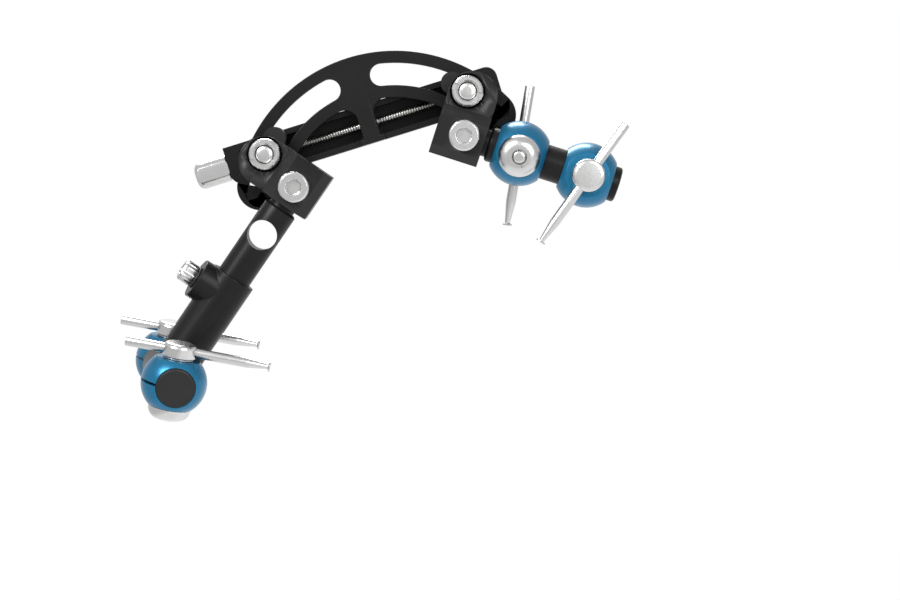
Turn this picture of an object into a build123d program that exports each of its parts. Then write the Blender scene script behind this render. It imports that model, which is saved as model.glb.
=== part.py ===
"""External fixator for a small joint, in millimetres.

X runs along the guide bar, Z points from the joint to the bar and Y away from the viewer.
The origin is on the joint axis, in the plane of the two rods. The joint axis is the centre of
the curved slots, about which the two arms swing.
"""

import os
from math import asin, atan2, cos, degrees, hypot, radians, sin, sqrt

from build123d import *

os.makedirs("parts", exist_ok=True)

# Fits
running = 0.05
face_gap = 0.1
edge_break = 0.25

# Linkage at rest
pivot_offset = 23.4
pivot_height = 20.75
pivot_lift = 0.417
right_arm_angle = 35.0
left_arm_angle = 38.5

# Arc plate: the slots start beside the middle and end past the pivots
slot_radius = 31.0
slot_width = 5.0
outer_band = 2.7
inner_band = 2.7
plate_thickness = 2.0
slot_start_angle = 11.3
slot_end_angle = 17.0
end_band = 0.8
web_width = 3.7
web_fillet = 3.0
foot_toe = 0.45
foot_height = 1.2
foot_fillet = 0.5
tongue_width = 1.5
tongue_depth = 1.1
tongue_reach = 16.8
plate_front = 9.6

# Guide bar
bar_past_left_pivot = 9.8
bar_past_right_pivot = 7.6
bar_height = 8.9
bar_depth = 6.0
bar_corner = 2.5
pocket_height = 6.3
pocket_depth = 5.4
pocket_corner = 1.2
end_wall = 3.2
post_width = 4.0

# Lead screw and knob
screw_radius = 1.0
screw_in_knob = 6.0
screw_in_end_wall = 2.0
knob_radius = 3.05
knob_length = 7.8
knob_chamfer = 0.9
knob_flat = 0.45
knob_pin_radius = 0.65
knob_pin_inset = 1.5
collar_radius = 1.8
collar_width = 1.2

# Travellers and pivots
traveller_width = 5.0
traveller_clearance = 0.1
stud_radius = 2.0
stem_radius = 1.7
stem_seat = 1.6
stud_proud = 0.6
guide_pin_radius = 1.5
guide_pin_spread = 4.0
guide_pin_seat = 4.0
nut_radius = 3.5
nut_height = 3.15
nut_slot_width = 1.5
nut_slot_depth = 0.9
nut_chamfer = 0.5

# Slider blocks, in the arm's own frame: along from the pivot, up, and forward
block_inner = 4.1
block_outer = 6.9
block_bottom = 15.3
lug_radius = 5.5
lug_centre_up = -0.6
body_front = 4.7
body_back = 5.1
step_depth = 2.3
step_top = -4.0
bottom_bevel = 2.0
counterbore_radius = 3.9
counterbore_depth = 2.2
boss_radius = 3.6
boss_gap = 0.15

# Clamp screws
cap_head_radius = 3.4
cap_head_height = 2.3
cap_hex = 3.0
cap_hex_depth = 1.4
cap_shank_radius = 2.0
cap_along = 2.2
shank_groove_depth = 0.4

# Rods
rod_radius = 3.9
rod_drop = 9.5
rod_chamfer = 0.5
shank_radius = 2.75
shank_depth = 8.4
neck_radius = 3.1
neck_length = 1.0
proximal_end = 38.0
distal_end = 43.0
cross_hole_along = 15.0
cross_hole_radius = 3.3

# Sleeve, thumb screw and transverse rod
sleeve_start = 26.4
sleeve_radius = 5.0
sleeve_bore_length = 20.0
sleeve_roll = 12.5
eye_along = 51.7
eye_radius = 6.0
eye_half_width = 5.6
eye_round = 0.4
boss_along = 4.7
thumb_boss_radius = 4.6
thumb_boss_top = 7.0
thumb_boss_round = 0.5
thumb_shank_radius = 1.5
thumb_head_radius = 2.45
thumb_head_height = 3.2
thumb_grooves = 16
thumb_groove_radius = 0.22
thumb_washer_radius = 2.6
thumb_washer_height = 0.5
transverse_radius = 4.3
transverse_half_length = 18.0
clamp_clearance = 0.8

# Clamps
ball_radius = 7.2
ring_width = 11.2
ring_slit = 0.6
ball_flat = 5.35
hub_washer_radius = 3.25
hub_washer_height = 0.5
hub_radius = 3.6
hub_height = 3.1
hub_edge = 0.8
hub_web = 0.25
clamp_stud_radius = 1.35
stud_inner_end = 4.5
dome_radius = 4.65
dome_height = 2.85
dome_rim = 0.35
dome_flat_radius = 2.2
dome_stud_proud = 0.35
near_clamp_along = 15.1
far_clamp_along = 30.7
near_clamp_tilt = 6.0
near_pin_turn = 8.5
far_pin_turn = 17.8
transverse_bolt_turn = 23.6
transverse_pin_turn = -8.0

# Bone pins
pin_radius = 1.1
pin_length = 31.8
pin_taper_length = 4.9
pin_neck_radius = 0.55
pin_flange_length = 0.4
near_pin_plain = 14.7
far_pin_plain = 13.8
transverse_pin_plain = 11.9

# Derived planes and levels
bar_left = -(pivot_offset + bar_past_left_pivot)
bar_right = pivot_offset + bar_past_right_pivot
plate_back = plate_front + plate_thickness
bar_front = plate_back + face_gap
bar_middle = bar_front + bar_depth / 2
bar_top = pivot_height + bar_height / 2
bar_bottom = pivot_height - bar_height / 2
boss_back = plate_front - boss_gap
lug_front = body_front - step_depth
neck_end = block_outer + neck_length
lug_centre_along = (block_outer - block_inner) / 2
clamp_spread = eye_half_width + clamp_clearance + ring_width / 2
hub_base = ball_flat + hub_washer_height
pin_level = hub_base + hub_web + running + pin_radius

# Derived linkage: the middle line of the slots passes just under the pivots
slot_centre = pivot_height - pivot_lift - sqrt(slot_radius**2 - pivot_offset**2)
pivot_radius = hypot(pivot_offset, pivot_height - slot_centre)
tangent_angle = degrees(atan2(pivot_offset, pivot_height - slot_centre))
slot_end = degrees(asin(pivot_offset / slot_radius)) + slot_end_angle


def save(part, name, mirrored=False):
    """Label a finished piece and write it, mirrored to the left side where asked."""
    piece = mirror(part, about=Plane.YZ) if mirrored else part
    piece.label = name
    export_step(piece, f"parts/{name}.step")


def arm_face(arm_angle):
    """The arm's own plane at the pivot: x along the arm, y up the block, z to the viewer."""
    tilt = radians(arm_angle)
    return Plane(
        origin=(pivot_offset, 0, pivot_height),
        x_dir=(cos(tilt), 0, -sin(tilt)),
        z_dir=(0, -1, 0),
    )


def rod_face(arm_angle, roll=0.0):
    """The arm's plane moved onto the rod's axis and rolled about it, front end down."""
    face = arm_face(arm_angle)
    turn = radians(roll)
    forward = face.z_dir * cos(turn) - face.y_dir * sin(turn)
    return Plane(origin=face.from_local_coords((0, -rod_drop, 0)), x_dir=face.x_dir, z_dir=forward)


def across(face, along, up=0.0, forward=0.0):
    """A plane square to the face's x axis, for sections of the rods and sleeve."""
    return Plane(
        origin=face.from_local_coords((along, up, forward)),
        x_dir=face.y_dir,
        z_dir=face.x_dir,
    )


def upward(face, along, up=0.0, forward=0.0):
    """A plane square to the face's y axis, looking up the block."""
    return Plane(
        origin=face.from_local_coords((along, up, forward)),
        x_dir=face.x_dir,
        z_dir=face.y_dir,
    )


# Arc plate: a curved band with two slots, a web over the bar and a guide tongue behind the web
band_width = slot_width + outer_band + inner_band
foot_width = web_width + 2 * (foot_fillet + foot_toe)
inner_edge_radius = slot_radius - band_width / 2
plate_end = slot_end - degrees(((band_width - slot_width) / 2 - end_band) / slot_radius)
plate_plane = Plane.XZ.offset(-plate_front)
web_top = slot_centre + slot_radius
web_join = slot_centre + sqrt(inner_edge_radius**2 - (web_width / 2) ** 2)
foot_top = bar_bottom + foot_height
web_corner = min(web_fillet, 0.8 * (web_join - foot_top - foot_fillet))

with BuildPart() as arc_plate:
    with BuildSketch(plate_plane) as outline:
        with BuildLine() as band_line:
            CenterArc((0, slot_centre), slot_radius, 90 - plate_end, 2 * plate_end)
        SlotArc(band_line.edge(), band_width)
        with Locations((0, (web_top + bar_bottom) / 2)):
            Rectangle(web_width, web_top - bar_bottom)
        with Locations((0, bar_bottom + foot_height / 2)):
            Rectangle(foot_width, foot_height)
        for side in (-1, 1):
            shoulder = (side * web_width / 2, web_join)
            fillet(outline.vertices().sort_by_distance(shoulder)[:1], web_corner)
            heel = (side * web_width / 2, foot_top)
            fillet(outline.vertices().sort_by_distance(heel)[:1], foot_fillet)
        for start in (90 - slot_end, 90 + slot_start_angle):
            with BuildLine() as slot_line:
                CenterArc((0, slot_centre), slot_radius, start, slot_end - slot_start_angle)
            SlotArc(slot_line.edge(), slot_width, mode=Mode.SUBTRACT)
    extrude(amount=-plate_thickness)
    chamfer(arc_plate.faces().sort_by(Axis.Y)[0].edges(), edge_break)
    with BuildSketch(Plane.XZ.offset(-plate_back)):
        with Locations((0, bar_bottom + tongue_reach / 2)):
            Rectangle(tongue_width, tongue_reach)
    extrude(amount=-tongue_depth)
save(arc_plate.part, "arc_plate")

# Guide bar: a channel with two pockets, a solid post between them and a bore for the screw
post_edge = post_width / 2
pocket_spans = ((bar_left + end_wall, -post_edge), (post_edge, bar_right - end_wall))

with BuildPart() as guide_bar:
    with BuildSketch(Plane.XZ.offset(-bar_front)) as bar_outline:
        with Locations(((bar_left + bar_right) / 2, pivot_height)):
            Rectangle(bar_right - bar_left, bar_height)
        lower_left = bar_outline.vertices().group_by(Axis.X)[0].sort_by(Axis.Y)[0]
        upper_right = bar_outline.vertices().group_by(Axis.X)[-1].sort_by(Axis.Y)[-1]
        fillet([lower_left, upper_right], bar_corner)
    extrude(amount=-bar_depth)
    chamfer(guide_bar.faces().sort_by(Axis.Y)[0].edges(), edge_break)
    with BuildSketch(Plane.XZ.offset(-bar_front)):
        for start, end in pocket_spans:
            with Locations(((start + end) / 2, pivot_height)):
                RectangleRounded(end - start, pocket_height, pocket_corner)
    extrude(amount=-pocket_depth, mode=Mode.SUBTRACT)
    with BuildSketch(Plane.XZ.offset(-bar_front)):
        with Locations((0, pivot_height)):
            Rectangle(tongue_width + 2 * face_gap, bar_height + 2)
    extrude(amount=-(tongue_depth + face_gap), mode=Mode.SUBTRACT)
    with BuildSketch(Plane.YZ.offset(bar_left)):
        with Locations((bar_middle, pivot_height)):
            Circle(screw_radius + running)
    extrude(amount=bar_right - end_wall + screw_in_end_wall + face_gap - bar_left,
            mode=Mode.SUBTRACT)
save(guide_bar.part, "guide_bar")

# Lead screw with its knob outside the left end and a retaining collar inside it
knob_face = bar_left - running
screw_start = knob_face - screw_in_knob
screw_end = bar_right - end_wall + screw_in_end_wall

with BuildPart() as lead_screw:
    with BuildSketch(Plane.YZ.offset(screw_start)):
        with Locations((bar_middle, pivot_height)):
            Circle(screw_radius)
    extrude(amount=screw_end - screw_start)
save(lead_screw.part, "lead_screw")

with BuildPart() as drive_knob:
    with BuildSketch(Plane.YZ.offset(knob_face)):
        with Locations((bar_middle, pivot_height)):
            Circle(knob_radius)
    extrude(amount=-knob_length)
    chamfer(drive_knob.faces().sort_by(Axis.X)[0].edges(), knob_chamfer)
    with BuildSketch(Plane.YZ.offset(knob_face)):
        with Locations((bar_middle - knob_radius, pivot_height)):
            Rectangle(2 * knob_flat, 2 * knob_radius)
    extrude(amount=-knob_length, mode=Mode.SUBTRACT)
    with BuildSketch(Plane.YZ.offset(knob_face)):
        with Locations((bar_middle, pivot_height)):
            Circle(screw_radius)
    extrude(amount=-screw_in_knob, mode=Mode.SUBTRACT)
    with BuildSketch(Plane.XY.offset(pivot_height)):
        with Locations((knob_face - knob_pin_inset, bar_middle)):
            Circle(knob_pin_radius)
    extrude(amount=knob_radius + 1, mode=Mode.SUBTRACT)
save(drive_knob.part, "drive_knob")

with BuildPart() as knob_pin:
    with BuildSketch(Plane.XY.offset(pivot_height + screw_radius)):
        with Locations((knob_face - knob_pin_inset, bar_middle)):
            Circle(knob_pin_radius)
    extrude(amount=knob_radius - screw_radius)
save(knob_pin.part, "knob_pin")

with BuildPart() as screw_collar:
    with BuildSketch(Plane.YZ.offset(bar_left + end_wall + running)):
        with Locations((bar_middle, pivot_height)):
            Circle(collar_radius)
            Circle(screw_radius, mode=Mode.SUBTRACT)
    extrude(amount=collar_width)
save(screw_collar.part, "screw_collar")


def build_traveller():
    """The nut that rides on the lead screw inside a pocket, with a seat for the pivot stem."""
    front = bar_front + face_gap
    depth = pocket_depth - 2 * face_gap
    with BuildPart() as traveller:
        with BuildSketch(Plane.XZ.offset(-front)):
            with Locations((pivot_offset, pivot_height)):
                Rectangle(traveller_width, pocket_height - 2 * traveller_clearance)
        extrude(amount=-depth)
        chamfer(traveller.edges().filter_by(Axis.Y), edge_break)
        with BuildSketch(Plane.YZ.offset(pivot_offset - traveller_width / 2)):
            with Locations((bar_middle, pivot_height)):
                Circle(screw_radius + running)
        extrude(amount=traveller_width, mode=Mode.SUBTRACT)
        with BuildSketch(Plane.XZ.offset(-front)):
            with Locations((pivot_offset, pivot_height)):
                Circle(stem_radius)
        extrude(amount=-stem_seat, mode=Mode.SUBTRACT)
    return traveller.part


def build_pivot_stud():
    """The stepped stud: a full shank in the block and a thinner stem through the slot."""
    front = -(lug_front + stud_proud)
    shoulder = boss_back + boss_gap / 2
    with BuildPart() as stud:
        with BuildSketch(Plane.XZ.offset(-front)):
            with Locations((pivot_offset, pivot_height)):
                Circle(stud_radius)
        extrude(amount=-(shoulder - front))
        chamfer(stud.faces().sort_by(Axis.Y)[0].edges(), edge_break)
        with BuildSketch(Plane.XZ.offset(-shoulder)):
            with Locations((pivot_offset, pivot_height)):
                Circle(stem_radius)
        extrude(amount=-(bar_front + face_gap + stem_seat - shoulder))
    return stud.part


def build_castle_nut(slot_turn):
    """The round nut with two slots across its rim, sunk in the lug's counterbore."""
    seat = -(lug_front - counterbore_depth) - running
    rim = seat - nut_height
    with BuildPart() as nut:
        with BuildSketch(Plane.XZ.offset(-seat)):
            with Locations((pivot_offset, pivot_height)):
                Circle(nut_radius)
                Circle(stud_radius, mode=Mode.SUBTRACT)
        extrude(amount=nut_height)
        chamfer(nut.faces().sort_by(Axis.Y)[0].edges(), nut_chamfer)
        with BuildSketch(Plane.XZ.offset(-rim)):
            with Locations(Location((pivot_offset, pivot_height, 0), slot_turn)):
                Rectangle(3 * nut_radius, nut_slot_width)
                Circle(stud_radius, mode=Mode.SUBTRACT)
        extrude(amount=-nut_slot_depth, mode=Mode.SUBTRACT)
    return nut.part


def build_guide_pins():
    """Two followers that ride in the slot on each side of the pivot and steer the block."""
    with BuildPart() as pins:
        with BuildSketch(Plane.XZ.offset(-(boss_back - guide_pin_seat))):
            for turn in (-1, 1):
                with Locations(guide_pin_centre(turn)):
                    Circle(guide_pin_radius)
        extrude(amount=-(guide_pin_seat + boss_gap + plate_thickness))
    return pins.part


def guide_pin_centre(turn):
    """The centre of one follower, on the circle of the slot through the pivot."""
    angle = radians(tangent_angle + turn * degrees(guide_pin_spread / slot_radius))
    base = pivot_radius - slot_radius
    centre_x = base * sin(radians(tangent_angle))
    centre_z = slot_centre + base * cos(radians(tangent_angle))
    return (centre_x + slot_radius * sin(angle), centre_z + slot_radius * cos(angle))


def build_slider_block(arm_angle):
    """The block: a rounded lug at the pivot, a thick body for the rod and a boss behind."""
    face = arm_face(arm_angle)
    rod = rod_face(arm_angle)
    lug_left = (-block_inner, lug_centre_up)
    lug_right = (block_outer, lug_centre_up)
    step_bottom = step_top - step_depth
    with BuildPart() as block:
        with BuildSketch(face.offset(-body_back)):
            with BuildLine():
                Polyline(lug_left, (-block_inner, -block_bottom), (block_outer, -block_bottom),
                         lug_right)
                ThreePointArc(lug_right, (lug_centre_along, lug_centre_up + lug_radius), lug_left)
            make_face()
        extrude(amount=body_front + body_back)
        with BuildSketch(across(face, -block_inner)):
            with BuildLine():
                Polyline((step_bottom, body_front), (step_top, lug_front),
                         (lug_radius + 1, lug_front), (lug_radius + 1, body_front + 1),
                         (step_bottom, body_front + 1), close=True)
            make_face()
            with BuildLine():
                Polyline((-block_bottom, body_front - bottom_bevel),
                         (-block_bottom + bottom_bevel, body_front),
                         (-block_bottom + bottom_bevel, body_front + 1),
                         (-block_bottom - 1, body_front + 1),
                         (-block_bottom - 1, body_front - bottom_bevel), close=True)
            make_face()
        extrude(amount=block_inner + block_outer, mode=Mode.SUBTRACT)
        front_faces = block.faces().filter_by(lambda side: side.normal_at().Y < -0.1)
        rim = front_faces.edges().filter_by(Axis(face.origin, face.x_dir), reverse=True)
        chamfer(rim, edge_break)
        with BuildSketch(Plane.XZ.offset(-body_back)):
            with Locations((pivot_offset, pivot_height)):
                Circle(boss_radius)
            for turn in (-1, 1):
                with Locations(guide_pin_centre(turn)):
                    Circle(guide_pin_radius + 1)
            make_hull()
        extrude(amount=-(boss_back - body_back))
        with BuildSketch(face.offset(lug_front)):
            Circle(counterbore_radius)
        extrude(amount=-counterbore_depth, mode=Mode.SUBTRACT)
        with BuildSketch(face.offset(lug_front)):
            Circle(stud_radius + running)
        extrude(amount=-(boss_back + lug_front), mode=Mode.SUBTRACT)
        with BuildSketch(Plane.XZ.offset(-boss_back)):
            for turn in (-1, 1):
                with Locations(guide_pin_centre(turn)):
                    Circle(guide_pin_radius)
        extrude(amount=guide_pin_seat, mode=Mode.SUBTRACT)
        with BuildSketch(across(rod, block_outer)):
            Circle(shank_radius + running)
        extrude(amount=-(shank_depth + running), mode=Mode.SUBTRACT)
        with BuildSketch(rod.offset(body_front)):
            with Locations((cap_along, 0)):
                Circle(cap_shank_radius)
        extrude(amount=-body_front, mode=Mode.SUBTRACT)
    return block.part


def build_clamp_screw(arm_angle):
    """The socket cap screw whose tip sits in the groove of the rod's shank."""
    rod = rod_face(arm_angle)
    tip = shank_radius - shank_groove_depth + running
    with BuildPart() as screw:
        with BuildSketch(rod.offset(body_front)):
            with Locations((cap_along, 0)):
                Circle(cap_head_radius)
        extrude(amount=cap_head_height)
        head_face = screw.faces().sort_by(Axis.Y)[0]
        fillet(head_face.edges(), edge_break)
        with BuildSketch(rod.offset(body_front + cap_head_height)):
            with Locations((cap_along, 0)):
                RegularPolygon(cap_hex / 2, 6, major_radius=False)
        extrude(amount=-cap_hex_depth, mode=Mode.SUBTRACT)
        with BuildSketch(rod.offset(tip)):
            with Locations((cap_along, 0)):
                Circle(cap_shank_radius)
        extrude(amount=body_front - tip)
    return screw.part


def build_rod(arm_angle, end, hole_along=None):
    """A rod with a grooved shank in the block, a short neck and a chamfered far end."""
    rod = rod_face(arm_angle)
    with BuildPart() as bar:
        with BuildSketch(across(rod, block_outer - shank_depth)):
            Circle(shank_radius)
        extrude(amount=shank_depth)
        with BuildSketch(across(rod, cap_along - cap_shank_radius - running)):
            Circle(shank_radius + running)
            Circle(shank_radius - shank_groove_depth, mode=Mode.SUBTRACT)
        extrude(amount=2 * (cap_shank_radius + running), mode=Mode.SUBTRACT)
        with BuildSketch(across(rod, block_outer)):
            Circle(neck_radius)
        extrude(amount=neck_length)
        with BuildSketch(across(rod, neck_end)):
            Circle(rod_radius)
        extrude(amount=end - neck_end)
        rims = bar.edges().filter_by(GeomType.CIRCLE).filter_by(
            lambda rim: abs(rim.radius - rod_radius) < running)
        chamfer(rims, rod_chamfer)
        if hole_along is not None:
            with BuildSketch(rod.offset(-2 * rod_radius)):
                with Locations((hole_along, 0)):
                    Circle(cross_hole_radius)
            extrude(amount=4 * rod_radius, mode=Mode.SUBTRACT)
    return bar.part


def build_sleeve(face):
    """The tube over the distal rod, with a boss for the thumb screw and an eye at its end."""
    boss_centre = sleeve_start + boss_along
    with BuildPart() as sleeve:
        with BuildSketch(across(face, sleeve_start)):
            Circle(sleeve_radius)
        extrude(amount=eye_along - sleeve_start)
        with BuildSketch(upward(face, boss_centre)):
            Circle(thumb_boss_radius)
        extrude(amount=thumb_boss_top)
        with BuildSketch(face.offset(-eye_half_width)):
            with Locations((eye_along, 0)):
                Circle(eye_radius)
        extrude(amount=2 * eye_half_width)
        rims = sleeve.edges().filter_by(GeomType.CIRCLE)
        fillet(rims.filter_by(lambda rim: abs(rim.radius - eye_radius) < running), eye_round)
        boss_rim = rims.filter_by(lambda rim: abs(rim.radius - thumb_boss_radius) < running)
        fillet(boss_rim, thumb_boss_round)
        with BuildSketch(across(face, sleeve_start)):
            Circle(rod_radius + running)
        extrude(amount=sleeve_bore_length, mode=Mode.SUBTRACT)
        with BuildSketch(face.offset(-eye_half_width)):
            with Locations((eye_along, 0)):
                Circle(transverse_radius)
        extrude(amount=2 * eye_half_width, mode=Mode.SUBTRACT)
        with BuildSketch(upward(face, boss_centre)):
            Circle(thumb_shank_radius + running)
        extrude(amount=thumb_boss_top, mode=Mode.SUBTRACT)
    return sleeve.part


def build_thumb_screw(face):
    """The knurled thumb screw, whose tip stops just clear of the rod."""
    boss_centre = sleeve_start + boss_along
    head_base = thumb_boss_top + thumb_washer_height
    with BuildPart() as screw:
        with BuildSketch(upward(face, boss_centre, head_base)):
            Circle(thumb_head_radius)
            with PolarLocations(thumb_head_radius, thumb_grooves):
                Circle(thumb_groove_radius, mode=Mode.SUBTRACT)
        extrude(amount=thumb_head_height)
        tip = rod_radius + running
        with BuildSketch(upward(face, boss_centre, tip)):
            Circle(thumb_shank_radius)
        extrude(amount=head_base - tip)
    return screw.part


def build_thumb_washer(face):
    """The dark washer between the boss and the thumb screw's head."""
    with BuildPart() as washer:
        with BuildSketch(upward(face, sleeve_start + boss_along, thumb_boss_top)):
            Circle(thumb_washer_radius)
            Circle(thumb_shank_radius + running, mode=Mode.SUBTRACT)
        extrude(amount=thumb_washer_height)
    return washer.part


def build_transverse_rod(face):
    """The short rod across the sleeve's eye, which carries one clamp at each end."""
    with BuildPart() as bar:
        with BuildSketch(face.offset(-transverse_half_length)):
            with Locations((eye_along, 0)):
                Circle(transverse_radius)
        extrude(amount=2 * transverse_half_length)
        chamfer(bar.edges().filter_by(GeomType.CIRCLE), rod_chamfer)
    return bar.part


def build_clamp_ring(frame, bore_radius):
    """The split ball: x is the rod's axis, z the bolt's axis, y the side of the pin's tip."""
    with BuildPart(frame) as ring:
        Sphere(ball_radius)
        Box(ring_width, 3 * ball_radius, 2 * ball_flat, mode=Mode.INTERSECT)
        chamfer(ring.edges().filter_by(GeomType.CIRCLE), edge_break)
        Cylinder(bore_radius + running, 2 * ring_width, rotation=(0, 90, 0), mode=Mode.SUBTRACT)
        with Locations((0, -ball_radius, 0)):
            Box(2 * ring_width, 2 * ball_radius, ring_slit, mode=Mode.SUBTRACT)
        with Locations((0, 0, stud_inner_end)):
            Cylinder(clamp_stud_radius + running, ball_radius, mode=Mode.SUBTRACT,
                     align=(Align.CENTER, Align.CENTER, Align.MIN))
        with Locations((0, 0, -stud_inner_end)):
            Cylinder(clamp_stud_radius, ball_radius, mode=Mode.SUBTRACT,
                     align=(Align.CENTER, Align.CENTER, Align.MAX))
    return ring.part


def build_hub_washer(frame):
    """The thin washer between the ball and the pin hub."""
    with BuildPart(frame) as washer:
        with Locations((0, 0, ball_flat)):
            Cylinder(hub_washer_radius, hub_washer_height,
                     align=(Align.CENTER, Align.CENTER, Align.MIN))
        Cylinder(clamp_stud_radius + running, 3 * ball_radius, mode=Mode.SUBTRACT)
    return washer.part


def pin_frame(frame, turn):
    """The pin's plane: x along the bolt and y to the pin's tip, at the hub's cross bore."""
    angle = radians(turn)
    tip_dir = frame.y_dir * cos(angle) + frame.x_dir * sin(angle)
    origin = frame.from_local_coords((0, 0, pin_level))
    return Plane(origin=origin, x_dir=frame.z_dir, z_dir=frame.z_dir.cross(tip_dir))


def build_pin_hub(frame, pin_face):
    """The turning hub: a low round cap with a cross bore for the pin and a stem below."""
    bore = Plane(origin=pin_face.origin, x_dir=pin_face.x_dir, z_dir=pin_face.y_dir)
    with BuildPart(frame) as hub:
        with Locations((0, 0, hub_base)):
            Cylinder(hub_radius, hub_height, align=(Align.CENTER, Align.CENTER, Align.MIN))
        top = hub.faces().filter_by(GeomType.PLANE).sort_by(Axis(frame.origin, frame.z_dir))[-1]
        fillet(top.edges(), hub_edge)
        with Locations((0, 0, stud_inner_end)):
            Cylinder(clamp_stud_radius, hub_base - stud_inner_end,
                     align=(Align.CENTER, Align.CENTER, Align.MIN))
        with BuildSketch(bore):
            Circle(pin_radius + running)
        extrude(amount=2 * hub_radius, both=True, mode=Mode.SUBTRACT)
    return hub.part


def build_clamp_stud(frame):
    """The short stud that holds the domed cap, with its end standing a little proud."""
    length = ball_flat + dome_height + dome_stud_proud - stud_inner_end
    with BuildPart(frame) as stud:
        with Locations((0, 0, -stud_inner_end)):
            Cylinder(clamp_stud_radius, length, align=(Align.CENTER, Align.CENTER, Align.MAX))
        outer = stud.faces().filter_by(GeomType.PLANE).sort_by(Axis(frame.origin, frame.z_dir))[0]
        fillet(outer.edges(), edge_break)
    return stud.part


def build_dome_cap(frame):
    """The domed nut on the ball's flat: a low rim, a rounded shoulder and a flat top."""
    section = Plane(origin=frame.origin, x_dir=frame.x_dir, z_dir=frame.y_dir * -1)
    rim_level = ball_flat + dome_rim
    top_level = ball_flat + dome_height
    rise = dome_height - dome_rim
    run = dome_radius - dome_flat_radius
    bulge = (dome_flat_radius + run * sin(radians(52)), -rim_level - rise * cos(radians(52)))
    with BuildPart() as cap:
        with BuildSketch(section):
            with BuildLine():
                Polyline((clamp_stud_radius, -ball_flat), (dome_radius, -ball_flat),
                         (dome_radius, -rim_level))
                ThreePointArc((dome_radius, -rim_level), bulge, (dome_flat_radius, -top_level))
                Polyline((dome_flat_radius, -top_level), (clamp_stud_radius, -top_level),
                         (clamp_stud_radius, -ball_flat))
            make_face()
        revolve(axis=Axis(frame.origin, frame.z_dir))
    return cap.part


def build_bone_pin(pin_face, plain):
    """The pin: a plain bar, a taper to a thin neck and a small flange at its tip."""
    tip = pin_length - plain
    flange = tip - pin_flange_length
    taper = flange - pin_taper_length
    with BuildPart() as pin:
        with BuildSketch(pin_face):
            with BuildLine():
                Polyline((0, -plain), (pin_radius - edge_break, -plain),
                         (pin_radius, edge_break - plain), (pin_radius, taper),
                         (pin_neck_radius, flange), (pin_radius, flange), (pin_radius, tip),
                         (0, tip), close=True)
            make_face()
        revolve(axis=Axis(pin_face.origin, pin_face.y_dir))
    return pin.part


def save_clamp(name, frame, bore_radius, turn, plain, mirrored=False):
    """Build and write the six pieces of one clamp."""
    pin_face = pin_frame(frame, turn)
    save(build_clamp_ring(frame, bore_radius), f"{name}_clamp_ring", mirrored)
    save(build_hub_washer(frame), f"{name}_hub_washer", mirrored)
    save(build_pin_hub(frame, pin_face), f"{name}_pin_hub", mirrored)
    save(build_clamp_stud(frame), f"{name}_clamp_stud", mirrored)
    save(build_dome_cap(frame), f"{name}_dome_cap", mirrored)
    save(build_bone_pin(pin_face, plain), f"{name}_bone_pin", mirrored)


# Travellers, pivots, blocks and their screws: the left side is built on the right and mirrored
sides = (
    ("right", right_arm_angle, -38.0, False),
    ("left", left_arm_angle, -18.0, True),
)
for side_name, arm_angle, slot_turn, mirrored in sides:
    save(build_traveller(), f"traveller_{side_name}", mirrored)
    save(build_pivot_stud(), f"pivot_stud_{side_name}", mirrored)
    save(build_castle_nut(slot_turn), f"castle_nut_{side_name}", mirrored)
    save(build_guide_pins(), f"guide_pins_{side_name}", mirrored)
    save(build_slider_block(arm_angle), f"slider_block_{side_name}", mirrored)
    save(build_clamp_screw(arm_angle), f"clamp_screw_{side_name}", mirrored)

# Proximal arm: a rod with two clamps, the near one with its hub behind the rod
proximal = rod_face(right_arm_angle)
save(build_rod(right_arm_angle, proximal_end), "proximal_rod")
tilt = radians(near_clamp_tilt)
near_frame = Plane(
    origin=proximal.from_local_coords((near_clamp_along, 0, 0)),
    x_dir=proximal.x_dir,
    z_dir=proximal.y_dir * sin(tilt) - proximal.z_dir * cos(tilt),
)
far_frame = Plane(
    origin=proximal.from_local_coords((far_clamp_along, 0, 0)),
    x_dir=proximal.x_dir * -1,
    z_dir=proximal.z_dir,
)
save_clamp("near", near_frame, rod_radius, near_pin_turn, near_pin_plain)
save_clamp("far", far_frame, rod_radius, far_pin_turn, far_pin_plain)

# Distal arm: a rod, a sleeve that slides on it and a transverse rod with two clamps
distal = rod_face(left_arm_angle, sleeve_roll)
save(build_rod(left_arm_angle, distal_end, cross_hole_along), "distal_rod", True)
save(build_sleeve(distal), "distal_sleeve", True)
save(build_thumb_screw(distal), "thumb_screw", True)
save(build_thumb_washer(distal), "thumb_washer", True)
save(build_transverse_rod(distal), "transverse_rod", True)
bolt = radians(transverse_bolt_turn)
for clamp_name, spread in (("front", clamp_spread), ("rear", -clamp_spread)):
    transverse_frame = Plane(
        origin=distal.from_local_coords((eye_along, 0, spread)),
        x_dir=distal.z_dir * -1,
        z_dir=distal.y_dir * sin(bolt) - distal.x_dir * cos(bolt),
    )
    save_clamp(clamp_name, transverse_frame, transverse_radius, transverse_pin_turn, transverse_pin_plain,
               mirrored=True)
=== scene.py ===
"""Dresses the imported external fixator: turned steel, anodised clamps, black blocks and bone pins.

Sizes are in millimetres. X runs along the guide bar, Z from the joint to the bar, Y away from
the viewer, and the origin is on the joint axis.
"""

from __future__ import annotations

import logging
import math
from dataclasses import dataclass
from enum import Enum
from typing import Callable, Sequence

import bpy
from mathutils import Matrix, Vector

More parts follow.
